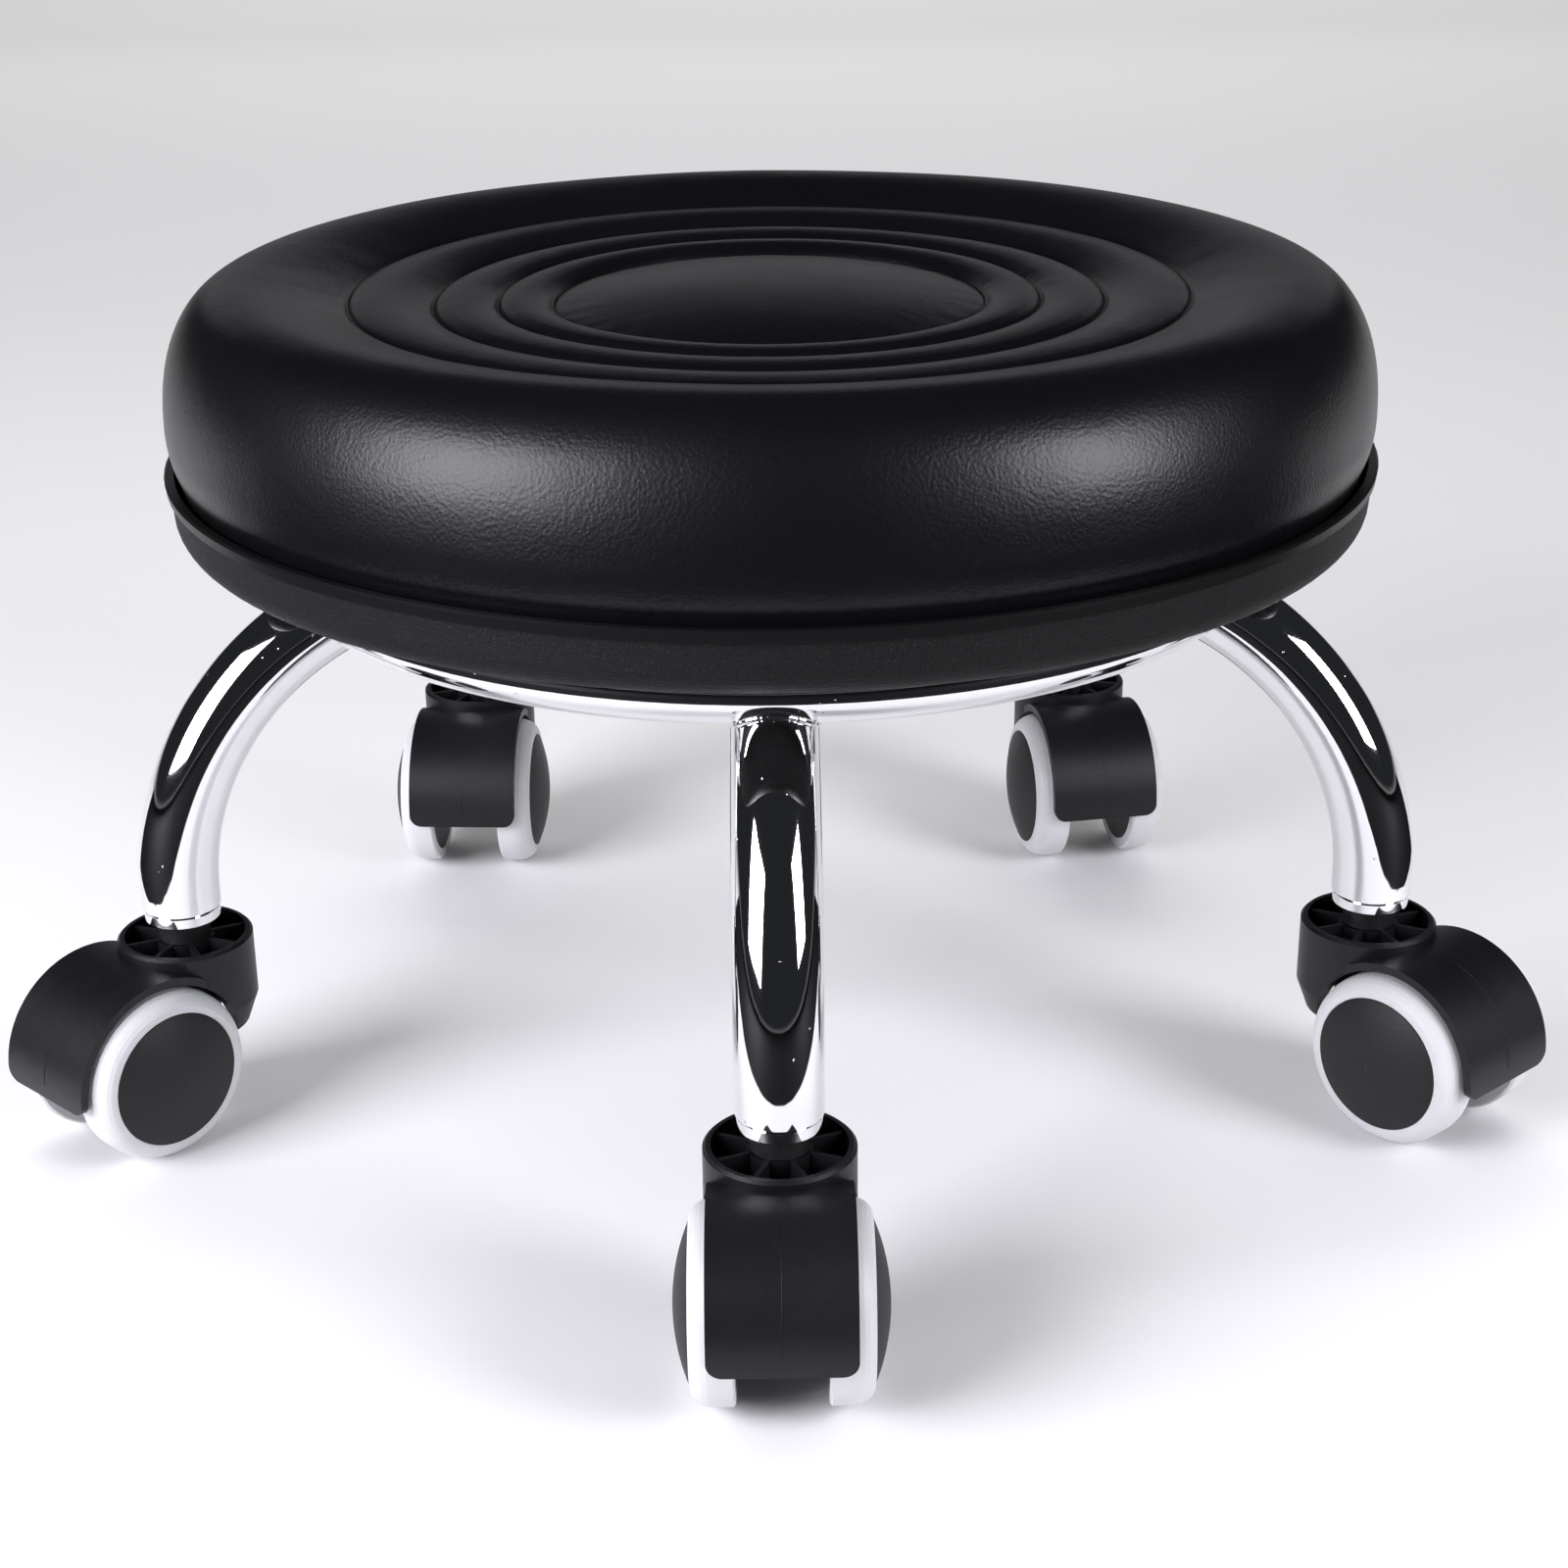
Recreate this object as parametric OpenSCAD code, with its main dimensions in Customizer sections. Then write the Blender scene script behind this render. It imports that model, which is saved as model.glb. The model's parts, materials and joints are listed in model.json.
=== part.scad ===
// Low rolling stool for a pedicure station: a round padded seat on a chromed
// ring frame with five bent legs, each standing on a swivelling twin-wheel caster.
// Millimetres, +Z up. The origin is on the floor, on the axis of the leg circle.

/* [Frame] */
// Radius of the circle through the five caster stems
stem_circle_r = 176; // [172:1:190]
// Outside radius of the leg tube
leg_tube_r = 11; // [10.5:0.25:11.5]
// Wall thickness of the leg tube
leg_wall = 1.5; // [1:0.1:2]
// Height of the bottom end of each leg tube
leg_end_z = 64; // [63.5:0.5:66]
// Height where each leg starts to bend inwards
bend_start_z = 68; // [67:0.5:70]
// Radius of the bend, on the tube's centre line
bend_r = 84; // [82:0.5:86]
// Angle the leg has turned through where it ends under the ring
bend_angle = 68; // [66:0.5:69]
// Radius of the ring, on the tube's centre line
ring_r = 131.5; // [130:0.5:133]
// Outside radius of the ring's tube
ring_tube_r = 9; // [8.5:0.25:9.5]

/* [Seat] */
// Widest radius of the cushion
seat_r = 167.6; // [166:0.2:169]
// Height of the cushion's widest line
seat_wide_z = 196; // [194:0.5:198]
// Radius of the cushion's highest line
crest_r = 144.5; // [140:0.5:148]
// Height of the cushion's highest line
crest_z = 231.6; // [228:0.2:236]
// Radius of the largest pressed crease
crease_r = 116; // [110:1:122]
// Height of the largest pressed crease
crease_z = 224.6; // [222:0.2:226]
// Thickness of the cover
cover_t = 1.2; // [0.8:0.1:2]
// Radius of the plywood board
board_r = 158; // [154:1:160]
// Thickness of the plywood board
board_t = 12; // [9:1:14]
// Outside radius of the pan's rim
pan_r = 168.5; // [168:0.25:172]
// Height of the top of the pan's rim
pan_top_z = 182.5; // [182:0.25:183]
// Wall thickness of the pan
pan_wall = 3; // [2.5:0.25:3.5]

/* [Casters] */
// Radius of each wheel over its tread
wheel_r = 24.5; // [24.2:0.1:25]
// Distance from the stem's axis back to the wheels' axle
trail = 22; // [20:0.5:23]
// Half the gap between the two wheels of a caster
wheel_gap = 11; // [10.8:0.1:12]
// Height of the rim of the round cup on each hood
cup_top_z = 54.8; // [54.4:0.1:55.2]
// Radius of the steel axle
axle_r = 4; // [3:0.25:4.5]
// Radius of the swivel stem
stem_r = 5.5; // [5:0.25:5.5]

/* [Hidden] */
$fn = 72;
LEGS = 5;
// Turn of each caster about its stem, from straight out at the front
HEADING = [0, 41, 9.5, -3, -43];

// Seat
SEAT_BOTTOM_Z = pan_top_z - 18;
BOARD_Z = SEAT_BOTTOM_Z + pan_wall;
FOAM_Z = BOARD_Z + board_t;
CREASE_STEP = 8;
// Share of the largest crease's radius, and drop below it, for each crease
CREASES = [[1, 0], [0.8, 2.5], [0.648, 2.8], [0.518, 3.5]];
PUFF = 2.2;
DOME = 4.5;

// Frame
RING_Z = SEAT_BOTTOM_Z - 0.2 - ring_tube_r;
RING_WALL = 1.5;
LEG_END_WALL = 2;
TAB_T = 3;
TAB_TOP_Z = SEAT_BOTTOM_Z - 0.05;
TAB_INNER_R = 96;
TAB_COUNT = 4;
SCREW_R = 3;
SCREW_CIRCLE_R = 107;
SCREW_HEAD_H = 4;
WASHER_T = 1.6;

// Casters
AXLE_Z = wheel_r;
SOCKET_FLANGE = 3.6;
SOCKET_TOP_Z = bend_start_z + 16;
SOCKET_NECK_R = 7.8;
SOCKET_BORE_R = stem_r + 0.12;
STEM_TOP_Z = bend_start_z + 14;
STEM_BOTTOM_Z = 31;
COLLAR_BOTTOM_Z = cup_top_z - 0.7;
COLLAR_H = 4.6;
CUP_R = 18.8;
CUP_WALL = 2;
CUP_STRAIGHT = 19.5;
CUP_TAPER = 8;
CUP_DEPTH = 6.5;
BOSS_R = 8;
HOOD_HALF_W = 17.7;
HOOD_GAP = 1.2;
HOOD_DROP = 2.5;
HOOD_WALL = 2.3;
HOOD_CORNER = 4;
WEB_HALF_W = 3;
HUB_CLEAR = 0.4;
TREAD_HALF = 11;
SHOULDER = 6;
CAP_EDGE_R = 19.1;
CORE_R = 20.8;
RUNNING = 0.06;

// ---------- cushion outline, as radius and height ----------

// Height of the pressed top inside the largest crease
function puffed(r, i) =
  let (ro = CREASES[i][0] * crease_r, zo = crease_z - CREASES[i][1])
  i == 3
    ? zo + DOME * (1 - pow(r / ro, 2))
    : let (ri = CREASES[i + 1][0] * crease_r, zi = crease_z - CREASES[i + 1][1])
      let (u = (ro - r) / (ro - ri))
      zo + (zi - zo) * u + PUFF * sin(180 * u);

function crease_outline(i) =
  let (ro = CREASES[i][0] * crease_r)
  let (ri = i == 3 ? 0 : CREASES[i + 1][0] * crease_r)
  [for (k = [0 : CREASE_STEP - 1]) let (r = ro - (ro - ri) * k / CREASE_STEP) [r, puffed(r, i)]];

function cushion_outline(inset) = concat(
  [for (a = [-42 : 6 : 0])
    [crest_r + (seat_r - crest_r - inset) * pow(cos(a), 0.35),
     seat_wide_z + (17 - inset) * sin(a)]],
  [for (a = [5 : 5 : 85])
    [crest_r + (seat_r - crest_r - inset) * pow(cos(a), 0.9),
     seat_wide_z + (crest_z - seat_wide_z - inset) * pow(sin(a), 0.9)]],
  [for (u = [1 : -0.125 : 0.1])
    [crease_r + (crest_r - crease_r) * u, crease_z - inset + (crest_z - crease_z) * sin(90 * u)]],
  [for (i = [0 : 3]) for (p = crease_outline(i)) [p[0], p[1] - inset]],
  [[0, crease_z - CREASES[3][1] + DOME - inset]]);

// ---------- seat ----------

module seat_cover() {
  inner = cushion_outline(cover_t);
  color([0.03, 0.03, 0.035]) difference() {
    rotate_extrude() polygon(concat([[0, BOARD_Z + 2], [board_r + 1.4, BOARD_Z + 2],
      [board_r + 4.4, BOARD_Z + 6]], cushion_outline(0)));
    rotate_extrude() polygon(concat([[0, BOARD_Z + 1], [board_r + 0.2, BOARD_Z + 1],
      [board_r + 0.2, FOAM_Z], [board_r + 1.8, FOAM_Z + 1]], inner));
  }
}

module seat_foam() {
  color([0.85, 0.8, 0.6]) rotate_extrude()
    polygon(concat([[0, FOAM_Z], [board_r, FOAM_Z], [board_r + 1.6, FOAM_Z + 1]],
      cushion_outline(cover_t + 0.1)));
}

module at_screws() {
  for (i = [0 : TAB_COUNT - 1])
    rotate([0, 0, 45 + i * 360 / TAB_COUNT]) translate([SCREW_CIRCLE_R, 0, 0]) children();
}

module seat_board() {
  color([0.72, 0.58, 0.4]) difference() {
    translate([0, 0, BOARD_Z]) cylinder(r = board_r, h = board_t - 0.1, $fn = 180);
    at_screws() translate([0, 0, BOARD_Z - 1]) cylinder(r = 4.25, h = board_t + 2);
    at_screws() translate([0, 0, FOAM_Z - 1.7]) cylinder(r = 9.1, h = 3);
  }
}

module t_nuts() {
  color([0.75, 0.76, 0.78]) at_screws() difference() {
    union() {
      translate([0, 0, FOAM_Z - 1.65]) cylinder(r = 9, h = 1.5);
      translate([0, 0, BOARD_Z + 2]) cylinder(r = 4.2, h = board_t - 3);
    }
    translate([0, 0, BOARD_Z]) cylinder(r = SCREW_R + 0.05, h = board_t + 2);
  }
}

// The pan has a round foot, an almost upright wall and a plain lip
module pan_profile() {
  corner = 8;
  foot_r = pan_r - 1.8;
  polygon(concat(
    [[0, SEAT_BOTTOM_Z], [foot_r - corner, SEAT_BOTTOM_Z]],
    [for (a = [-80 : 10 : -10])
      [foot_r - corner + corner * cos(a), SEAT_BOTTOM_Z + corner + corner * sin(a)]],
    [[foot_r, SEAT_BOTTOM_Z + corner], [pan_r - 1.4, pan_top_z - 3.4],
     [pan_r - 0.3, pan_top_z - 3], [pan_r, pan_top_z - 0.6], [pan_r - 0.6, pan_top_z],
     [pan_r - 2.6, pan_top_z], [foot_r - pan_wall, pan_top_z - 8],
     [foot_r - pan_wall - 1.1, SEAT_BOTTOM_Z + 6], [board_r + 1.8, BOARD_Z + 0.7],
     [board_r + 0.6, BOARD_Z - 0.1], [0, BOARD_Z - 0.1]]));
}

module seat_pan() {
  color([0.06, 0.06, 0.06]) difference() {
    rotate_extrude($fn = 180) pan_profile();
    at_screws() translate([0, 0, SEAT_BOTTOM_Z - 1]) cylinder(r = SCREW_R + 0.4, h = pan_wall + 2);
    for (r = [40, 66])
      translate([0, 0, SEAT_BOTTOM_Z - 1]) difference() {
        cylinder(r = r + 1, h = 2);
        translate([0, 0, -1]) cylinder(r = r - 1, h = 4);
      }
    for (i = [0 : 3])
      rotate([0, 0, i * 90]) translate([53, 0, SEAT_BOTTOM_Z - 1]) cylinder(r = 4, h = pan_wall + 2);
  }
}

// ---------- frame ----------

module ring_tube(r) {
  translate([0, 0, RING_Z]) rotate_extrude($fn = 180) translate([ring_r, 0]) circle(r = r);
}

module frame_ring() {
  color([0.8, 0.81, 0.83]) difference() {
    ring_tube(ring_tube_r);
    ring_tube(ring_tube_r - RING_WALL);
    translate([0, ring_r, RING_Z - ring_tube_r - 1]) cylinder(r = 2.5, h = RING_WALL + 3);
  }
}

module mount_tabs() {
  color([0.78, 0.79, 0.81]) for (i = [0 : TAB_COUNT - 1])
    rotate([0, 0, 45 + i * 360 / TAB_COUNT]) difference() {
      union() {
        translate([TAB_INNER_R + 11, -11, TAB_TOP_Z - TAB_T])
          cube([ring_r - TAB_INNER_R - 13, 22, TAB_T]);
        translate([TAB_INNER_R + 11, 0, TAB_TOP_Z - TAB_T]) cylinder(r = 11, h = TAB_T);
      }
      translate([SCREW_CIRCLE_R, 0, TAB_TOP_Z - TAB_T - 1]) cylinder(r = SCREW_R + 0.4, h = TAB_T + 2);
      rotate([0, 0, -45 - i * 360 / TAB_COUNT]) ring_tube(ring_tube_r + 0.02);
    }
}

module screw_washers() {
  color([0.78, 0.79, 0.81]) at_screws() translate([0, 0, TAB_TOP_Z - TAB_T - WASHER_T]) difference() {
    cylinder(r = 7, h = WASHER_T - 0.02);
    translate([0, 0, -1]) cylinder(r = SCREW_R + 0.3, h = WASHER_T + 2);
  }
}

module seat_screws() {
  head_top = TAB_TOP_Z - TAB_T - WASHER_T - 0.02;
  color([0.7, 0.71, 0.73]) at_screws() difference() {
    union() {
      translate([0, 0, head_top - SCREW_HEAD_H]) cylinder(r = 5.8, h = SCREW_HEAD_H, $fn = 6);
      translate([0, 0, head_top - 0.5]) cylinder(r = SCREW_R, h = FOAM_Z - 1.5 - head_top);
    }
  }
}

// Vertical run and inward bend of one leg, along the +X side
module leg_path(r, low, turn) {
  translate([stem_circle_r, 0, low]) cylinder(r = r, h = bend_start_z - low);
  translate([stem_circle_r - bend_r, 0, bend_start_z]) rotate([90, 0, 0])
    rotate_extrude(angle = turn) translate([bend_r, 0]) circle(r = r);
}

module leg(i) {
  end_turn = bend_angle - LEG_END_WALL / bend_r * 180 / PI;
  color([0.82, 0.83, 0.85]) rotate([0, 0, -90 + i * 360 / LEGS]) difference() {
    leg_path(leg_tube_r, leg_end_z, bend_angle);
    leg_path(leg_tube_r - leg_wall, leg_end_z - 1, end_turn);
    ring_tube(ring_tube_r + 0.02);
  }
}

// ---------- casters ----------

module at_stem(i) {
  rotate([0, 0, -90 + i * 360 / LEGS]) translate([stem_circle_r, 0, 0])
    rotate([0, 0, 90 - i * 360 / LEGS]) children();
}

module at_caster(i) {
  at_stem(i) rotate([0, 0, HEADING[i]]) children();
}

module along_axle() {
  translate([0, -trail, AXLE_Z]) rotate([0, 90, 0]) children();
}

module leg_sockets() {
  color([0.8, 0.81, 0.83]) for (i = [0 : LEGS - 1]) at_stem(i) difference() {
    union() {
      translate([0, 0, leg_end_z])
        cylinder(r = leg_tube_r - leg_wall, h = bend_start_z - leg_end_z);
      translate([0, 0, leg_end_z]) cylinder(r = SOCKET_NECK_R, h = SOCKET_TOP_Z - leg_end_z);
      translate([0, 0, leg_end_z - SOCKET_FLANGE]) cylinder(r = leg_tube_r - 0.5, h = SOCKET_FLANGE - 1);
      translate([0, 0, leg_end_z - 1.05]) cylinder(r = leg_tube_r - 1.1, h = 1.05);
    }
    translate([0, 0, leg_end_z - SOCKET_FLANGE - 1])
      cylinder(r = SOCKET_BORE_R, h = SOCKET_TOP_Z - leg_end_z + SOCKET_FLANGE + 2);
  }
}

module caster_stems() {
  color([0.6, 0.61, 0.63]) for (i = [0 : LEGS - 1]) at_stem(i) difference() {
    union() {
      translate([0, 0, STEM_BOTTOM_Z]) cylinder(r = stem_r, h = STEM_TOP_Z - STEM_BOTTOM_Z);
      translate([0, 0, COLLAR_BOTTOM_Z]) cylinder(r = stem_r + 1.8, h = COLLAR_H);
    }
    translate([0, 0, STEM_TOP_Z - 6]) difference() {
      cylinder(r = stem_r + 2, h = 2);
      translate([0, 0, -1]) cylinder(r = stem_r - 1, h = 4);
    }
  }
}

module grip_rings() {
  color([0.5, 0.51, 0.53]) for (i = [0 : LEGS - 1]) at_stem(i)
    translate([0, 0, STEM_TOP_Z - 5.8]) difference() {
      cylinder(r = SOCKET_BORE_R - 0.02, h = 1.6);
      translate([0, 0, -1]) cylinder(r = stem_r - 0.95, h = 4);
      translate([0, -1, -1]) cube([10, 2, 4]);
    }
}

// Side outline of the fender: a band that follows the wheels down the back
module fender_outline() {
  fender_r = wheel_r + HOOD_GAP + HOOD_WALL;
  intersection() {
    circle(r = fender_r, $fn = 120);
    translate([-fender_r - 1, -HOOD_DROP]) square([fender_r + trail + 1, fender_r + HOOD_DROP + 1]);
  }
}

// Rounded lower corners of the fender's back wall, seen from behind
module fender_front() {
  low = HOOD_CORNER;
  union() {
    translate([-HOOD_HALF_W, low]) square([HOOD_HALF_W * 2, 40]);
    translate([-HOOD_HALF_W + low, 0]) square([(HOOD_HALF_W - low) * 2, 10]);
    for (s = [-1, 1]) translate([s * (HOOD_HALF_W - low), low]) circle(r = low);
  }
}

module fender_block() {
  intersection() {
    translate([-HOOD_HALF_W, -trail, AXLE_Z]) rotate([90, 0, 90])
      linear_extrude(height = HOOD_HALF_W * 2) fender_outline();
    translate([0, 5, AXLE_Z - HOOD_DROP]) rotate([90, 0, 0]) linear_extrude(height = 60) fender_front();
  }
}

module wheel_space() {
  along_axle() for (s = [0, 1]) mirror([0, 0, s])
    translate([0, 0, wheel_gap - HUB_CLEAR]) cylinder(r = wheel_r + HOOD_GAP, h = 30, $fn = 120);
}

// Room on both sides of the middle web, behind the stem's boss
module web_space() {
  along_axle() for (s = [0, 1]) mirror([0, 0, s]) translate([0, 0, WEB_HALF_W])
    difference() {
      cylinder(r = wheel_r + HOOD_GAP, h = 30, $fn = 120);
      translate([0, 0, -1]) cylinder(r = axle_r + 3.5, h = 32);
    }
}

module hood_solid() {
  fender_block();
  translate([0, 0, cup_top_z - CUP_STRAIGHT]) cylinder(r = CUP_R, h = CUP_STRAIGHT - 0.8);
  translate([0, 0, cup_top_z - 0.8]) cylinder(r1 = CUP_R, r2 = CUP_R - 0.8, h = 0.8);
  translate([0, 0, cup_top_z - CUP_STRAIGHT - CUP_TAPER])
    cylinder(r1 = CUP_R - 3, r2 = CUP_R, h = CUP_TAPER);
}

module hood_cavities() {
  inner = CUP_R - CUP_WALL;
  translate([0, 0, cup_top_z - CUP_DEPTH]) cylinder(r = inner, h = CUP_DEPTH + 1);
  translate([0, 0, cup_top_z - CUP_STRAIGHT - CUP_TAPER - 1])
    cylinder(r = inner - 3, h = CUP_STRAIGHT + CUP_TAPER - CUP_DEPTH - 1.6);
  wheel_space();
  web_space();
}

module hood(i) {
  web_top = cup_top_z - CUP_DEPTH - 1;
  color([0.05, 0.05, 0.055]) at_caster(i) difference() {
    union() {
      difference() {
        hood_solid();
        hood_cavities();
      }
      translate([0, 0, STEM_BOTTOM_Z - 1])
        cylinder(r = BOSS_R, h = COLLAR_BOTTOM_Z - 0.3 - STEM_BOTTOM_Z + 1);
      for (a = [0 : 45 : 135]) rotate([0, 0, a + 22.5])
        translate([-CUP_R + 1, -0.6, web_top]) cube([(CUP_R - 1) * 2, 1.2, CUP_DEPTH + 0.2]);
      translate([-WEB_HALF_W, -trail, AXLE_Z - 4]) cube([WEB_HALF_W * 2, trail - 4, 24]);
      along_axle() translate([0, 0, -wheel_gap + HUB_CLEAR])
        cylinder(r = axle_r + 3.4, h = (wheel_gap - HUB_CLEAR) * 2);
    }
    translate([0, 0, STEM_BOTTOM_Z - 0.4]) cylinder(r = stem_r + RUNNING, h = 40);
    along_axle() translate([0, 0, -30]) cylinder(r = axle_r + 0.01, h = 60);
  }
}

module axle(i) {
  half = wheel_gap + 8.5;
  color([0.6, 0.61, 0.63]) at_caster(i) along_axle() difference() {
    translate([0, 0, -half]) cylinder(r = axle_r, h = half * 2);
    for (s = [0, 1]) mirror([0, 0, s]) translate([0, 0, half - 2.5]) difference() {
      cylinder(r = axle_r + 1, h = 1);
      translate([0, 0, -1]) cylinder(r = axle_r - 0.6, h = 3);
    }
  }
}

// One wheel of a caster: side 0 is the wheel on +X of the caster, side 1 on -X
module at_wheel(i, side) {
  at_caster(i) translate([0, -trail, AXLE_Z]) mirror([side, 0, 0]) rotate([0, 90, 0]) children();
}

module tread(i, side) {
  out = wheel_gap + TREAD_HALF;
  lip_r = CAP_EDGE_R + 0.9;
  color([0.82, 0.83, 0.84]) at_wheel(i, side) rotate_extrude($fn = 120)
    polygon(concat(
      [[CORE_R, wheel_gap], [wheel_r - 0.6, wheel_gap], [wheel_r, wheel_gap + 0.6]],
      [for (a = [90 : -15 : 0]) [lip_r + (wheel_r - lip_r) * sin(a), out - SHOULDER * (1 - cos(a))]],
      [[CAP_EDGE_R + 0.15, out], [CAP_EDGE_R + 0.15, out - 2], [CORE_R, out - 2]]));
}

module core(i, side) {
  depth = TREAD_HALF - 2.1;
  color([0.12, 0.12, 0.125]) at_wheel(i, side) difference() {
    translate([0, 0, wheel_gap]) cylinder(r = CORE_R - 0.02, h = depth, $fn = 120);
    translate([0, 0, wheel_gap + 3]) difference() {
      cylinder(r = CORE_R - 2.2, h = depth);
      translate([0, 0, -1]) cylinder(r = axle_r + 3, h = depth + 2);
    }
    translate([0, 0, wheel_gap - 1]) cylinder(r = axle_r + RUNNING, h = depth + 2);
  }
}

// Domed cap with a spigot that plugs into the core
module cap(i, side) {
  seat = wheel_gap + TREAD_HALF - 2;
  edge = seat + 2.2;
  dome_h = 3.8;
  dome_r = (CAP_EDGE_R * CAP_EDGE_R + dome_h * dome_h) / (2 * dome_h);
  color([0.09, 0.09, 0.095]) at_wheel(i, side) {
    translate([0, 0, seat]) cylinder(r = CAP_EDGE_R, h = 2.2, $fn = 120);
    intersection() {
      translate([0, 0, edge + dome_h - dome_r]) sphere(r = dome_r, $fn = 180);
      translate([0, 0, edge - 0.01]) cylinder(r = CAP_EDGE_R, h = dome_h + 1, $fn = 120);
    }
    translate([0, 0, seat - 4]) difference() {
      cylinder(r = CORE_R - 2.3, h = 4.01);
      translate([0, 0, -1]) cylinder(r = CORE_R - 4, h = 6);
    }
  }
}

// ---------- draw ----------

seat_cover();
seat_foam();
seat_board();
seat_pan();
t_nuts();
seat_screws();
screw_washers();
frame_ring();
mount_tabs();
leg_sockets();
caster_stems();
grip_rings();
for (i = [0 : LEGS - 1]) {
  leg(i);
  hood(i);
  axle(i);
  core(i, 0);
  core(i, 1);
  tread(i, 0);
  tread(i, 1);
  cap(i, 0);
  cap(i, 1);
}
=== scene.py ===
"""Looks for a low rolling stool: padded seat, plastic pan, chromed frame and twin-wheel casters."""

import json
import math

import bmesh
import bpy
import numpy as np
from mathutils import Matrix, Vector, noise


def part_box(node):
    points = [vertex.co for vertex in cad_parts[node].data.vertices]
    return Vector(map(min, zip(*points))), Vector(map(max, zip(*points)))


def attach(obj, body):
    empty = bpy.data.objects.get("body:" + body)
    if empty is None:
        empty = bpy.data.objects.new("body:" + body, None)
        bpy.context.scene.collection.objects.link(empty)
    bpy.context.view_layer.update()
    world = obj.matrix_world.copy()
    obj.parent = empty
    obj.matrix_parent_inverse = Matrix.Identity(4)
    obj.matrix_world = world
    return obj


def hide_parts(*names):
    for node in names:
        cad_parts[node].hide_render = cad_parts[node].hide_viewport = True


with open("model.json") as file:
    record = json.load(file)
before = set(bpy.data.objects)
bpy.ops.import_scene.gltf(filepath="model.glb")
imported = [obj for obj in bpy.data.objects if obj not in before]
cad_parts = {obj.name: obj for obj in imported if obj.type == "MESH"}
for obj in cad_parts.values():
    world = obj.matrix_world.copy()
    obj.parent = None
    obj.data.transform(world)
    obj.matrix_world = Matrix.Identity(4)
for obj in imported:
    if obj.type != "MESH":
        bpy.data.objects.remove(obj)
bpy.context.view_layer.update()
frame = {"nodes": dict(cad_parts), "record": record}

MM = 0.001
LEGS = 5


# ---------- shader helpers ----------


class Shader:
    """A material under construction: short names for the nodes used below."""

    def __init__(self, name):
        self.mat = bpy.data.materials.new(name)
        self.mat.use_nodes = True
        self.tree = self.mat.node_tree
        self.tree.nodes.clear()
        self.out = self.node("ShaderNodeOutputMaterial")
        self.bsdf = self.node("ShaderNodeBsdfPrincipled")
        self.link(self.bsdf.outputs[0], self.out.inputs[0])
        self.place = self.node("ShaderNodeTexCoord").outputs["Object"]

    def node(self, kind, **props):
        made = self.tree.nodes.new(kind)
        for key, value in props.items():
            setattr(made, key, value)
        return made

    def link(self, a, b):
        self.tree.links.new(a, b)

    def put(self, socket, value):
        """Sets a socket to a number, or links it where the value is another socket."""
        if isinstance(value, bpy.types.NodeSocket):
            self.link(value, socket)
        else:
            socket.default_value = value

    def noise(self, scale, detail=3.0, rough=0.5, place=None):
        made = self.node("ShaderNodeTexNoise")
        self.link(place or self.place, made.inputs["Vector"])
        made.inputs["Scale"].default_value = scale
        made.inputs["Detail"].default_value = detail
        made.inputs["Roughness"].default_value = rough
        return made.outputs[0]

    def cells(self, scale, feature="F1", randomness=1.0, place=None):
        made = self.node("ShaderNodeTexVoronoi", feature=feature)
        self.link(place or self.place, made.inputs["Vector"])
        made.inputs["Scale"].default_value = scale
        made.inputs["Randomness"].default_value = randomness
        return made.outputs["Distance"]

    def math(self, kind, a, b=0.0, c=0.0):
        made = self.node("ShaderNodeMath", operation=kind)
        for socket, value in zip(made.inputs, (a, b, c)):
            self.put(socket, value)
        return made.outputs[0]

    def spread(self, value, low, high, to_low, to_high):
        made = self.node("ShaderNodeMapRange")
        made.clamp = True
        for socket, number in zip(made.inputs, (value, low, high, to_low, to_high)):
            self.put(socket, number)
        return made.outputs[0]

    def colours(self, factor, low, high):
        made = self.node("ShaderNodeMix", data_type="RGBA")
        self.put(made.inputs[0], factor)
        made.inputs[6].default_value = (*low, 1.0)
        made.inputs[7].default_value = (*high, 1.0)
        return made.outputs[2]

    def bump(self, height, depth, strength=1.0, under=None):
        made = self.node("ShaderNodeBump")
        made.inputs["Strength"].default_value = strength
        made.inputs["Distance"].default_value = depth
        self.put(made.inputs["Height"], height)
        if under:
            self.link(under, made.inputs["Normal"])
        return made.outputs[0]

    def finish(self, **sockets):
        names = {
            "colour": "Base Color", "rough": "Roughness", "metal": "Metallic",
            "specular": "Specular IOR Level", "normal": "Normal",
            "under": "Subsurface Weight", "under_scale": "Subsurface Scale",
        }
        for key, value in sockets.items():
            self.put(self.bsdf.inputs[names[key]], value)
        return self.mat


# ---------- materials ----------


def leather():
    s = Shader("black_leather")
    pebble = s.cells(1050, "SMOOTH_F1", 0.9)
    fine = s.noise(2600, 2.0, 0.6)
    wave = s.noise(34, 2.0, 0.5)
    grain = s.math("ADD", s.math("MULTIPLY", pebble, 0.8), s.math("MULTIPLY", fine, 0.45))
    broad = s.bump(wave, 0.0009, 0.35)
    normal = s.bump(grain, 0.00016, 0.55, broad)
    patch = s.noise(9, 3.0, 0.5)
    colour = s.colours(patch, (0.002, 0.0019, 0.0026), (0.0042, 0.004, 0.0054))
    rough = s.math("ADD", s.spread(patch, 0.3, 0.7, 0.27, 0.33), s.math("MULTIPLY", fine, 0.06))
    return s.finish(colour=colour, rough=rough, normal=normal, specular=0.38)


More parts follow.
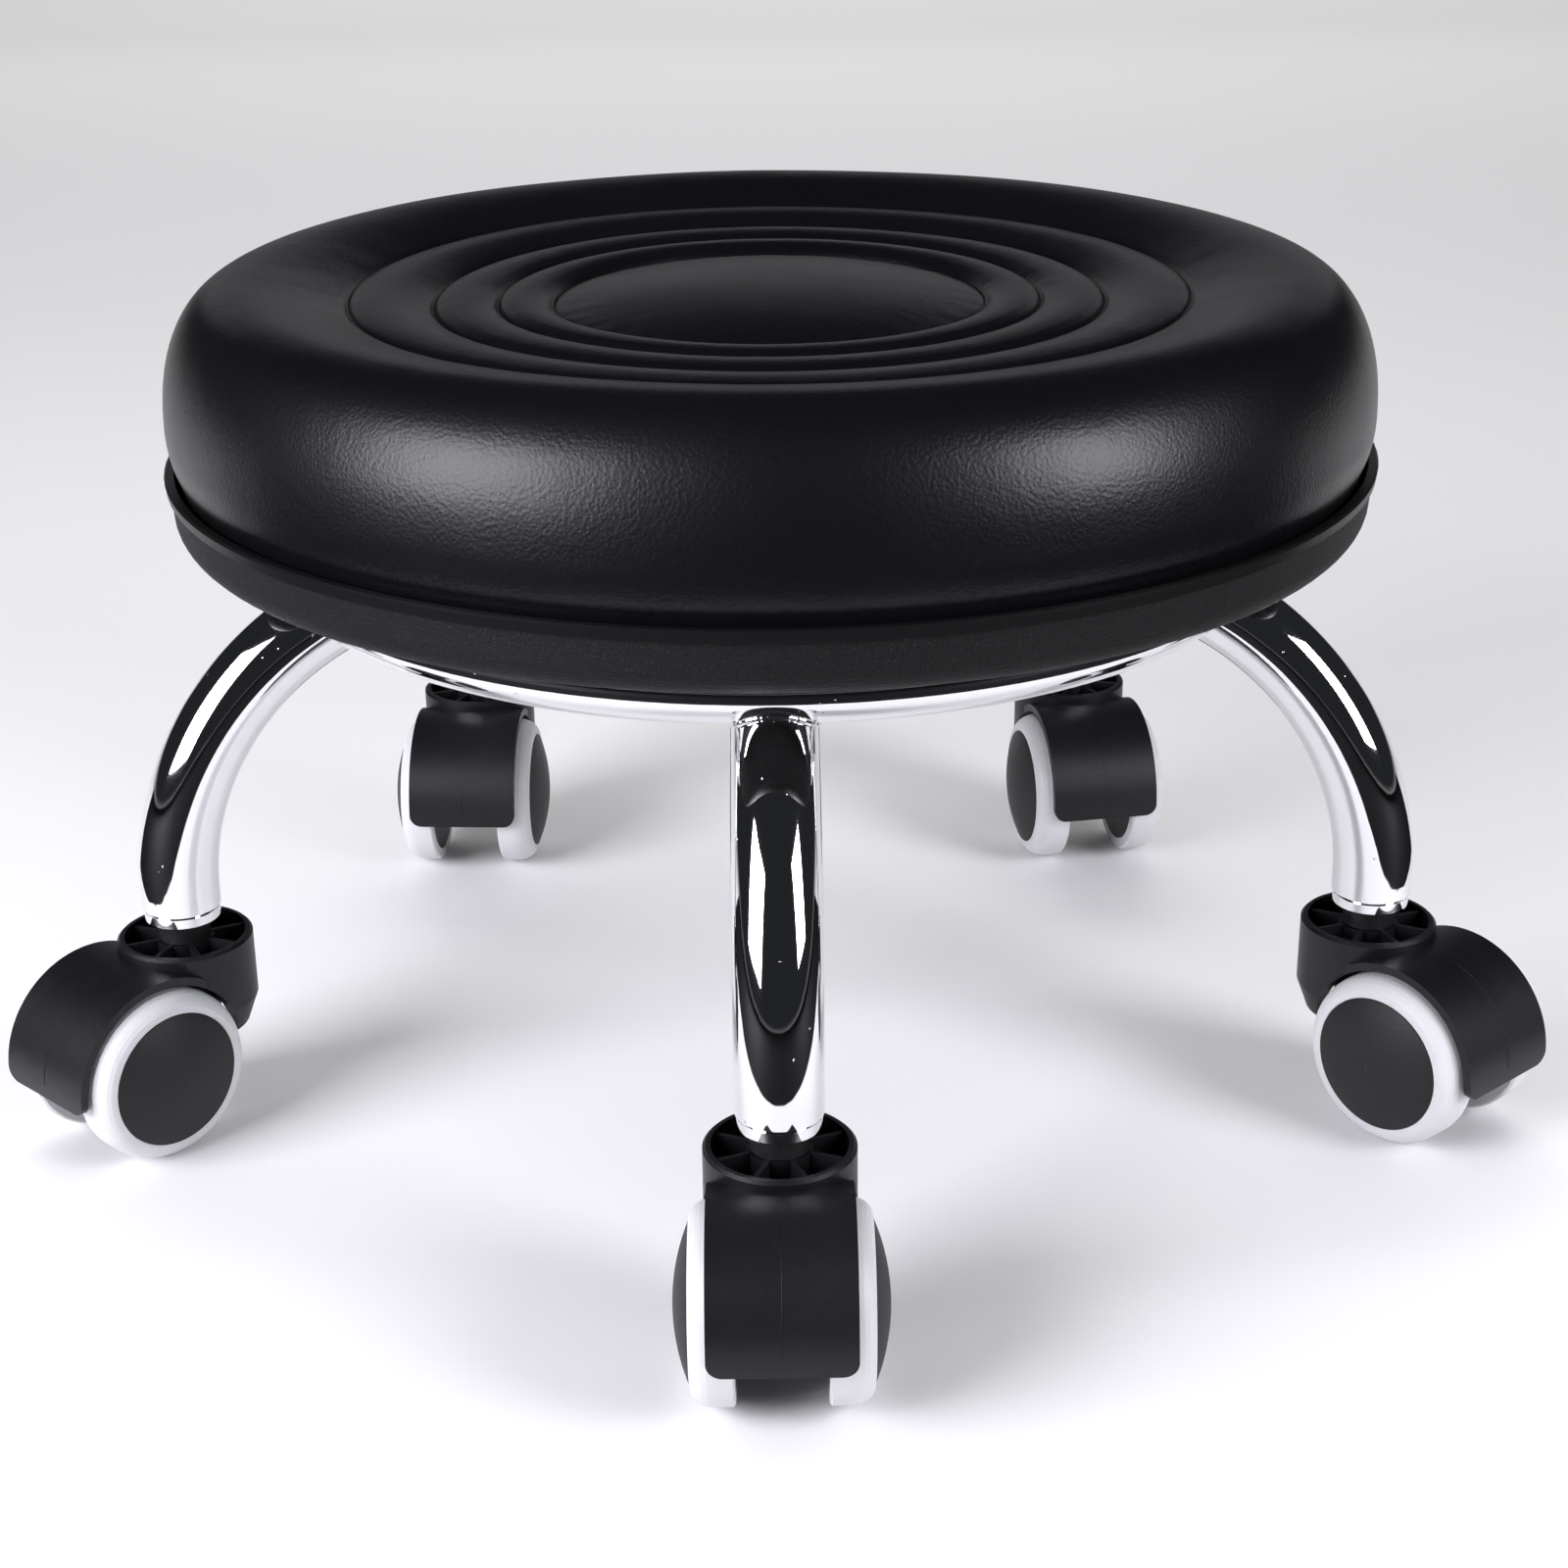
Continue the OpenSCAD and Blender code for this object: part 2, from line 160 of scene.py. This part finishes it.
def pan_plastic(lip_z):
    s = Shader("sand_grain_plastic")
    parts = s.node("ShaderNodeSeparateXYZ")
    s.link(s.place, parts.inputs[0])
    body = s.spread(parts.outputs[2], lip_z - 0.0002, lip_z + 0.0002, 1.0, 0.06)
    sand = s.noise(1700, 3.0, 0.7)
    spots = s.cells(1300, "F1", 1.0)
    height = s.math("MULTIPLY", s.math("ADD", sand, s.math("MULTIPLY", spots, 0.5)), body)
    normal = s.bump(height, 0.00035, 0.75)
    # Lighter flecks in the base colour, kept off the smooth lip: painted glints of the sand grain.
    painted_glints = s.spread(s.noise(2400, 1.0, 0.5), 0.66, 0.74, 0.0, 1.0)
    colour = s.colours(s.math("MULTIPLY", painted_glints, body), (0.0055, 0.0055, 0.006), (0.04, 0.04, 0.043))
    rough = s.math("ADD", s.math("MULTIPLY", body, 0.22), s.spread(sand, 0.3, 0.7, 0.3, 0.4))
    return s.finish(colour=colour, rough=rough, normal=normal, specular=0.22)


def chrome():
    s = Shader("chrome_plate")
    drift = s.noise(45, 2.0, 0.5)
    pits = s.spread(s.cells(260, "F1", 1.0), 0.05, 0.09, 1.0, 0.0)
    some = s.spread(s.noise(60, 1.0, 0.5), 0.52, 0.6, 0.0, 1.0)
    spot = s.math("MULTIPLY", pits, some)
    normal = s.bump(drift, 0.00035, 0.12)
    normal = s.bump(s.math("MULTIPLY", spot, -1.0), 0.0002, 0.5, normal)
    rough = s.math("ADD", s.spread(drift, 0.3, 0.7, 0.025, 0.055), s.math("MULTIPLY", spot, 0.25))
    colour = s.colours(drift, (0.83, 0.835, 0.85), (0.89, 0.895, 0.905))
    return s.finish(colour=colour, rough=rough, normal=normal, metal=1.0)


def zinc():
    s = Shader("zinc_plated_steel")
    fine = s.noise(900, 3.0, 0.6)
    cloud = s.noise(120, 3.0, 0.5)
    normal = s.bump(fine, 0.0001, 0.3)
    colour = s.colours(cloud, (0.42, 0.43, 0.44), (0.6, 0.61, 0.62))
    return s.finish(colour=colour, rough=s.spread(cloud, 0.3, 0.7, 0.24, 0.4), normal=normal, metal=1.0)


def black_oxide():
    s = Shader("black_oxide_steel")
    cloud = s.noise(140, 3.0, 0.5)
    colour = s.colours(cloud, (0.02, 0.02, 0.021), (0.045, 0.045, 0.047))
    return s.finish(colour=colour, rough=s.spread(cloud, 0.3, 0.7, 0.32, 0.5), metal=0.6,
                    normal=s.bump(s.noise(1100, 2.0, 0.6), 0.0001, 0.3))


def moulded(name, dark, light, rough_low, rough_high, grain=1500, depth=0.00012):
    """Satin moulded plastic: fine spark texture over slow flow marks."""
    s = Shader(name)
    flow = s.noise(28, 3.0, 0.6)
    fine = s.noise(grain, 3.0, 0.65)
    scuff = s.noise(210, 4.0, 0.7)
    normal = s.bump(flow, 0.0005, 0.18)
    normal = s.bump(fine, depth, 0.5, normal)
    colour = s.colours(flow, dark, light)
    rough = s.math("ADD", s.spread(flow, 0.3, 0.7, rough_low, rough_high),
                   s.spread(scuff, 0.55, 0.75, 0.0, 0.07))
    return s.finish(colour=colour, rough=rough, normal=normal, specular=0.36)


def tread_material():
    s = Shader("pale_polyurethane")
    cloud = s.noise(60, 3.0, 0.55)
    fine = s.noise(1400, 2.0, 0.6)
    dust = s.spread(s.noise(240, 4.0, 0.7), 0.6, 0.78, 0.0, 1.0)
    colour = s.colours(s.math("MULTIPLY", dust, 0.5), (0.66, 0.665, 0.68), (0.52, 0.52, 0.52))
    return s.finish(colour=colour, rough=s.spread(cloud, 0.3, 0.7, 0.38, 0.5), specular=0.45,
                    normal=s.bump(fine, 0.0001, 0.3), under=0.12, under_scale=0.002)


def foam_material():
    s = Shader("foam")
    pores = s.cells(900, "F1", 1.0)
    colour = s.colours(pores, (0.45, 0.38, 0.2), (0.7, 0.63, 0.42))
    return s.finish(colour=colour, rough=0.95, normal=s.bump(pores, 0.0004, 0.6))


def plywood_material():
    s = Shader("plywood")
    stretch = s.node("ShaderNodeMapping")
    stretch.inputs["Scale"].default_value = (12.0, 90.0, 700.0)
    s.link(s.place, stretch.inputs[0])
    grain = s.noise(1.0, 4.0, 0.6, stretch.outputs[0])
    colour = s.colours(grain, (0.32, 0.19, 0.09), (0.62, 0.44, 0.25))
    return s.finish(colour=colour, rough=s.spread(grain, 0.3, 0.7, 0.55, 0.75),
                    normal=s.bump(grain, 0.0002, 0.3))


def paint(names, material):
    for name in names:
        thing = frame["nodes"][name]
        for slot in thing.material_slots:
            slot.material = material
        if not thing.material_slots:
            thing.data.materials.append(material)


def soften(names, width, angle=32):
    """Rounds the sharp moulded or turned edges of CAD nodes as a modifier, over their own mesh."""
    for name in names:
        thing = frame["nodes"][name]
        bevel = thing.modifiers.new("soft_edges", "BEVEL")
        bevel.width = width
        bevel.segments = 2
        bevel.limit_method = "ANGLE"
        bevel.angle_limit = math.radians(angle)
        bevel.harden_normals = True


# ---------- mesh helpers ----------


def make_object(name, verts, faces, smooth=True):
    mesh = bpy.data.meshes.new(name)
    mesh.from_pydata([tuple(v) for v in verts], [], faces)
    mesh.validate()
    mesh.update()
    made = bpy.data.objects.new(name, mesh)
    bpy.context.collection.objects.link(made)
    if smooth:
        mesh.shade_smooth()
    return made


def revolve(name, rows, turns):
    """A closed turned surface. Each row is (radius, height); the first and last rows are on the axis."""
    verts = [(0, 0, rows[0][1])]
    for r, z in rows[1:-1]:
        for k in range(turns):
            a = 2 * math.pi * k / turns
            verts.append((r * math.cos(a), r * math.sin(a), z))
    verts.append((0, 0, rows[-1][1]))
    last = len(verts) - 1
    count = len(rows) - 2
    faces = []
    for k in range(turns):
        n = (k + 1) % turns
        faces.append((0, 1 + n, 1 + k))
        for j in range(count - 1):
            a = 1 + j * turns
            faces.append((a + k, a + n, a + turns + n, a + turns + k))
        a = 1 + (count - 1) * turns
        faces.append((a + k, a + n, last))
    return make_object(name, verts, faces)


def tube(name, path, radius, sides=10, wobble=0.0):
    """A round bead along a list of points, with closed ends."""
    points = [Vector(p) for p in path]
    verts = []
    up = Vector((0, 0, 1))
    for i, p in enumerate(points):
        ahead = points[min(i + 1, len(points) - 1)] - points[max(i - 1, 0)]
        side = ahead.cross(up)
        if side.length < 1e-9:
            side = Vector((1, 0, 0))
        side.normalize()
        lift = side.cross(ahead).normalized()
        r = radius * (1 + wobble * noise.noise(p * 900))
        for k in range(sides):
            a = 2 * math.pi * k / sides
            verts.append(p + side * (r * math.cos(a)) + lift * (r * math.sin(a)))
    faces = []
    for i in range(len(points) - 1):
        for k in range(sides):
            n = (k + 1) % sides
            faces.append((i * sides + k, i * sides + n, (i + 1) * sides + n, (i + 1) * sides + k))
    faces.append(tuple(range(sides))[::-1])
    faces.append(tuple((len(points) - 1) * sides + k for k in range(sides)))
    return make_object(name, verts, faces)


# ---------- cushion ----------

COVER_LOW, COVER_HIGH = (Vector(c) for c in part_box("seat_cover"))
PAN_LOW, PAN_HIGH = (Vector(c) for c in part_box("seat_pan"))
SEAT_R = COVER_HIGH.x
TOP_Z = COVER_HIGH.z
WIDE_Z = TOP_Z - 35.6 * MM
CREST_R = SEAT_R - 23.1 * MM
CREASE_Z = TOP_Z - 7 * MM
# Radius of each pressed crease, and its drop below the largest one
CREASES = [(116 * MM, 0.0), (92.8 * MM, 2.5 * MM), (75.2 * MM, 2.8 * MM), (60.1 * MM, 3.5 * MM)]
PUFF = 3.4 * MM
DOME = 7.2 * MM
GROOVE_DEPTH = 0.75 * MM
GROOVE_W = 0.8 * MM
TURNS = 208
# The cloth simulation: how full the cover starts, its length, and how much of it is kept
SLACK = 0.45
SIM_FRAMES = 18
SIM_SHARE = 0.35
SIM_CAP = 5 * MM


def top_height(r, swell):
    """Height of the pressed seat at a radius. swell is 1 for the finished shape, less for a slack one."""
    if r >= CREASES[0][0]:
        u = min(1.0, (r - CREASES[0][0]) / (CREST_R - CREASES[0][0]))
        z = CREASE_Z + (TOP_Z - CREASE_Z) * math.sin(math.pi / 2 * u) ** (0.84 / (0.4 + 0.6 * swell))
    else:
        z = CREASE_Z
        for i, (outer, drop) in enumerate(CREASES):
            inner = CREASES[i + 1][0] if i + 1 < len(CREASES) else 0.0
            if inner <= r <= outer:
                if inner == 0.0:
                    z = CREASE_Z - drop + swell * DOME * (1 - (r / outer) ** 2)
                else:
                    u = (outer - r) / (outer - inner)
                    fall = CREASES[i + 1][1] - drop
                    z = CREASE_Z - drop - fall * u + swell * PUFF * math.sin(math.pi * u) ** 0.8
                break
    for crease, _ in CREASES:
        z -= GROOVE_DEPTH * math.exp(-(((r - crease) / GROOVE_W) ** 2))
    return z


def side_point(angle, swell):
    """A point on the rounded side, by its angle from the widest line: below is negative, crest is 90."""
    reach = (SEAT_R - CREST_R) - (1 - swell) * 2.2 * MM
    c, s = math.cos(math.radians(angle)), math.sin(math.radians(angle))
    if angle < 0:
        return CREST_R + reach * c ** 0.35, WIDE_Z + 17 * MM * s
    rise = TOP_Z - WIDE_Z - (1 - swell) * 1.5 * MM
    return CREST_R + reach * c ** 0.9, WIDE_Z + rise * s ** 0.9


def top_radii():
    """Radii for the rows of the seat's top, close together at each crease."""
    near = [0, 0.35, 0.8, 1.4, 2.3, 3.6]
    radii = set()
    for crease, _ in CREASES:
        for step in near:
            radii.add(round(crease + step * MM, 6))
            radii.add(round(crease - step * MM, 6))
    edges = [CREST_R] + [c for c, _ in CREASES] + [0.004]
    for outer, inner in zip(edges, edges[1:]):
        free = (outer - inner) - 8 * MM
        count = max(2, int(free / (3.2 * MM)))
        for k in range(count + 1):
            radii.add(round(outer - 4 * MM - free * k / count, 6))
    return sorted((r for r in radii if 0.003 < r < CREST_R - 1 * MM), reverse=True)


def cushion_rows(swell):
    """The cushion's outline from the middle underneath, round the side, to the middle on top."""
    base = COVER_LOW.z
    rows = [(0.0, base), (0.06, base), (0.12, base), (SEAT_R - 8.4 * MM, base),
            (SEAT_R - 5.4 * MM, base + 4 * MM)]
    rows += [side_point(a, swell) for a in range(-42, 90, 6)]
    rows += [(CREST_R, top_height(CREST_R, swell))]
    rows += [(r, top_height(r, swell)) for r in top_radii()]
    rows += [(0.0, top_height(0.0, swell))]
    return rows


def inflate(cushion, held):
    """Blows the slack cover up against its pressed creases with a short cloth simulation."""
    group = cushion.vertex_groups.new(name="held")
    group.add(held, 1.0, "REPLACE")
    cloth = cushion.modifiers.new("cloth", "CLOTH")
    s = cloth.settings
    s.quality = 5
    s.mass = 0.25
    s.tension_stiffness = 30
    s.compression_stiffness = 30
    s.shear_stiffness = 12
    s.bending_stiffness = 2.5
    s.tension_damping = 15
    s.air_damping = 3
    s.use_pressure = True
    s.uniform_pressure_force = 4.0
    s.vertex_group_mass = "held"
    s.pin_stiffness = 4
    s.effector_weights.gravity = 0.0
    cloth.collision_settings.use_collision = False
    cloth.collision_settings.use_self_collision = False
    scene = bpy.context.scene
    for f in range(1, SIM_FRAMES + 1):
        scene.frame_set(f)
    seen = cushion.evaluated_get(bpy.context.evaluated_depsgraph_get())
    moved = np.array([v.co[:] for v in seen.data.vertices])
    cushion.modifiers.remove(cloth)
    cushion.vertex_groups.remove(group)
    scene.frame_set(1)
    return moved


def make_cushion():
    """The finished shape, eased by a third towards what the blown-up cover does."""
    full = cushion_rows(1.0)
    cushion = revolve("cushion", cushion_rows(SLACK), TURNS)
    start = np.array([v.co[:] for v in cushion.data.vertices])
    angles = [2 * math.pi * k / TURNS for k in range(TURNS)]
    target = np.array(
        [(0, 0, full[0][1])]
        + [(r * math.cos(a), r * math.sin(a), z) for r, z in full[1:-1] for a in angles]
        + [(0, 0, full[-1][1])])
    radius = np.hypot(target[:, 0], target[:, 1])
    shape = target.copy()
    held = []
    for i, (x, y, z) in enumerate(start):
        r = math.hypot(x, y)
        pressed = any(abs(r - c) < 0.5 * MM and z > CREASE_Z - 8 * MM for c, _ in CREASES)
        if z < PAN_HIGH.z or pressed:
            held.append(i)
    step = inflate(cushion, held) - start
    length = np.linalg.norm(step, axis=1, keepdims=True)
    step *= np.minimum(1.0, SIM_CAP / np.maximum(length, 1e-9))
    shape = target + SIM_SHARE * (start + step - target)
    shape = add_wrinkles(shape, radius)
    for v, co in zip(cushion.data.vertices, shape):
        v.co = co
    sub = cushion.modifiers.new("smooth", "SUBSURF")
    sub.levels = sub.render_levels = 1
    cushion.data.materials.append(MATERIALS["leather"])
    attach(cushion, "stool")
    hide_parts("seat_cover")


def add_wrinkles(shape, radius):
    """Short fine puckers that cross each crease, and a slow unevenness of hand-stretched cover."""
    out = shape.copy()
    for i, (x, y, z) in enumerate(shape):
        if z < PAN_HIGH.z:
            continue
        a = math.atan2(y, x)
        across, along = math.cos(a), math.sin(a)
        ease = min(1.0, (z - PAN_HIGH.z) / (10 * MM))
        slow = noise.noise(Vector((x * 14, y * 14, z * 14 + 5)))
        lift = 0.35 * MM * slow * ease
        for j, (crease, _) in enumerate(CREASES):
            d = (radius[i] - crease) / (3.2 * MM)
            if abs(d) < 2.5 and z > CREASE_Z - 8 * MM:
                ray = noise.noise(Vector((across * crease * 240, along * crease * 240, j * 7.3)))
                where = max(0.0, noise.noise(Vector((across * 3, along * 3, j + 2.5))) + 0.25)
                lift += 0.5 * MM * ray * abs(d) * math.exp(-d * d) * where
        if z > WIDE_Z:
            out[i, 2] += lift
        else:
            out[i, 0] += lift * across
            out[i, 1] += lift * along
    return out


# ---------- frame and caster details ----------

JOINTS = {j["name"]: j for j in frame["record"]["behaviour"]["joints"]}
# A leg's bend on its centre line, the circle of the caster stems, and the leg tube's outside
BEND_R = 84 * MM
BEND_Z = 68 * MM
STEM_CIRCLE_R = 176 * MM
LEG_TUBE_R = 11 * MM
# Outside of a hood's fender, round the wheels' axle
FENDER_R = 28 * MM
WELD_R = 1.1 * MM
PARTING_R = 0.09 * MM


def leg_turn(i):
    """Turns the leg along +X to its own place. Leg 0 points to the front, -Y."""
    return Matrix.Rotation(-math.pi / 2 + 2 * math.pi * i / LEGS, 4, "Z")


def weld_path():
    """Where a leg's tube meets the ring, as points for the leg along +X."""
    low, high = (Vector(c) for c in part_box("frame_ring"))
    tube_r = (high.z - low.z) / 2
    ring_z = (high.z + low.z) / 2
    ring_r = high.x - tube_r
    points = []
    for k in range(-44, 45):
        b = math.radians(k * 2.2)
        out = BEND_R + LEG_TUBE_R * math.cos(b)
        for tenth in range(300, 680):
            t = math.radians(tenth / 10)
            p = Vector((STEM_CIRCLE_R - BEND_R + out * math.cos(t), LEG_TUBE_R * math.sin(b),
                        BEND_Z + out * math.sin(t)))
            if math.hypot(math.hypot(p.x, p.y) - ring_r, p.z - ring_z) <= tube_r:
                points.append(p)
                break
    return points


def make_welds():
    path = weld_path()
    for i in range(LEGS):
        turn = leg_turn(i)
        bead = tube(f"weld_leg_{i + 1}", [turn @ p for p in path], WELD_R, 8, 0.25)
        bead.data.materials.append(MATERIALS["chrome"])
        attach(bead, "stool")


def make_parting_lines():
    """The faint raised line that the mould's two halves leave down the back of each hood."""
    for i in range(1, LEGS + 1):
        joint = JOINTS[f"roll_{i}a"]
        centre, across = Vector(joint["pos_m"]), Vector(joint["axis"])
        back = Vector((across.y, -across.x, 0))
        r = FENDER_R + 0.02 * MM
        path = []
        for k in range(3, 78, 3):
            a = math.radians(k)
            path.append(centre + back * (r * math.cos(a)) + Vector((0, 0, r * math.sin(a))))
        line = tube(f"parting_line_{i}", path, PARTING_R, 6)
        line.data.materials.append(MATERIALS["hood"])
        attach(line, f"caster_{i}")


# ---------- studio ----------


def make_floor():
    mesh = bpy.data.meshes.new("floor")
    shape = bmesh.new()
    bmesh.ops.create_grid(shape, x_segments=8, y_segments=8, size=12)
    shape.to_mesh(mesh)
    shape.free()
    floor = bpy.data.objects.new("floor", mesh)
    bpy.context.collection.objects.link(floor)
    s = Shader("studio_floor")
    cloud = s.noise(3, 2.0, 0.5)
    floor.data.materials.append(s.finish(
        colour=s.colours(cloud, (0.89, 0.89, 0.895), (0.91, 0.91, 0.915)), rough=0.7, specular=0.1))


def make_flag():
    """A horseshoe of black cloth on the floor round the front, which only reflections show."""
    steps = 20
    verts, faces = [], []
    for k in range(steps + 1):
        a = math.radians(-195 + 210 * k / steps)
        verts += [(r * math.cos(a), r * math.sin(a), 0.002) for r in (0.33, 2.4)]
    for k in range(steps):
        faces.append((2 * k, 2 * k + 1, 2 * k + 3, 2 * k + 2))
    flag = make_object("dark_flag", verts, faces, smooth=False)
    s = Shader("black_cloth")
    weave = s.noise(300, 2.0, 0.5)
    flag.data.materials.append(s.finish(
        colour=s.colours(weave, (0.006, 0.006, 0.007), (0.012, 0.012, 0.013)), rough=0.9, specular=0.05))
    flag.visible_camera = flag.visible_shadow = flag.visible_diffuse = False


def area_light(name, place, aim, size, power, colour=(1, 1, 1), tall=None, mirrored=True):
    data = bpy.data.lights.new(name, "AREA")
    data.shape = "RECTANGLE"
    data.size = size
    data.size_y = tall or size
    data.energy = power
    data.color = colour
    lamp = bpy.data.objects.new(name, data)
    bpy.context.collection.objects.link(lamp)
    lamp.location = place
    lamp.visible_glossy = mirrored
    lamp.rotation_euler = (Vector(aim) - Vector(place)).to_track_quat("-Z", "Y").to_euler()
    return lamp


def make_studio():
    make_floor()
    make_flag()
    world = bpy.data.worlds.new("studio")
    bpy.context.scene.world = world
    world.use_nodes = True
    world.node_tree.nodes["Background"].inputs[0].default_value = (0.86, 0.9, 1.0, 1)
    world.node_tree.nodes["Background"].inputs[1].default_value = 0.02
    middle = (0, 0, 0.15)
    area_light("left_box", (-1.0, -0.74, 0.62), middle, 0.8, 25, (0.95, 0.93, 1.0), 0.8)
    area_light("right_box", (1.03, -0.66, 0.62), middle, 0.5, 13, (0.96, 0.94, 1.0), 0.7)
    area_light("rear_strip", (0, 2.3, 0.6), middle, 2.4, 1.5, (0.97, 0.96, 1.0), 0.35)
    area_light("over_box", (0, 0.1, 2.3), (0, 0, 0), 2.6, 17, tall=2.2, mirrored=False)
    area_light("back_box", (0, 3.4, 2.6), (0, 2.6, 0), 4.2, 78, tall=2.2, mirrored=False)
    settings = bpy.context.scene.view_settings
    settings.view_transform = "Standard"
    settings.exposure = 0.0


def make_camera():
    """A camera at seated-eye distance, looking down at the seat's rim from the front."""
    place = Vector((0, -0.7391, 0.3833))
    pitch, yaw, roll = math.radians(22.64), math.radians(0.198), math.radians(-0.62)
    ahead = Vector((math.sin(yaw) * math.cos(pitch), math.cos(yaw) * math.cos(pitch), -math.sin(pitch)))
    right = ahead.cross(Vector((0, 0, 1))).normalized()
    up = right.cross(ahead)
    across = right * math.cos(roll) + up * math.sin(roll)
    rise = up * math.cos(roll) - right * math.sin(roll)
    data = bpy.data.cameras.new("camera")
    data.sensor_width = 36
    data.lens = 36 * 2735.4 / 1600
    data.clip_start = 0.01
    camera = bpy.data.objects.new("camera", data)
    bpy.context.collection.objects.link(camera)
    turn = Matrix((across, rise, -ahead)).transposed()
    camera.matrix_world = Matrix.Translation(place) @ turn.to_4x4()
    bpy.context.scene.camera = camera


# ---------- build ----------

MATERIALS = {
    "leather": leather(),
    "pan": pan_plastic(PAN_HIGH.z - 3.2 * MM),
    "chrome": chrome(),
    "zinc": zinc(),
    "oxide": black_oxide(),
    "hood": moulded("hood_nylon", (0.0045, 0.0045, 0.006), (0.008, 0.0078, 0.0105), 0.38, 0.46),
    "core": moulded("core_nylon", (0.02, 0.02, 0.022), (0.03, 0.03, 0.032), 0.45, 0.55),
    "cap": moulded("cap_plastic", (0.0055, 0.0055, 0.0065), (0.009, 0.009, 0.0105), 0.45, 0.53,
                   grain=1100, depth=0.0002),
    "tread": tread_material(),
    "foam": foam_material(),
    "plywood": plywood_material(),
}


def numbered(stem):
    return [f"{stem}_{i}" for i in range(1, LEGS + 1)]


def both_sides(stem):
    return [f"{name}{side}" for name in numbered(stem) for side in "ab"]


paint(["seat_foam"], MATERIALS["foam"])
paint(["seat_board"], MATERIALS["plywood"])
paint(["seat_pan"], MATERIALS["pan"])
paint(["t_nuts", "seat_screws", "screw_washers", "grip_rings"] + numbered("axle"), MATERIALS["zinc"])
paint(["caster_stems"], MATERIALS["oxide"])
paint(["frame_ring", "mount_tabs", "leg_sockets"] + numbered("leg"), MATERIALS["chrome"])
paint(numbered("hood"), MATERIALS["hood"])
paint(both_sides("core"), MATERIALS["core"])
paint(both_sides("tread"), MATERIALS["tread"])
paint(both_sides("cap"), MATERIALS["cap"])

soften(numbered("hood"), 0.35 * MM)
make_cushion()
make_welds()
make_parting_lines()
make_studio()
make_camera()
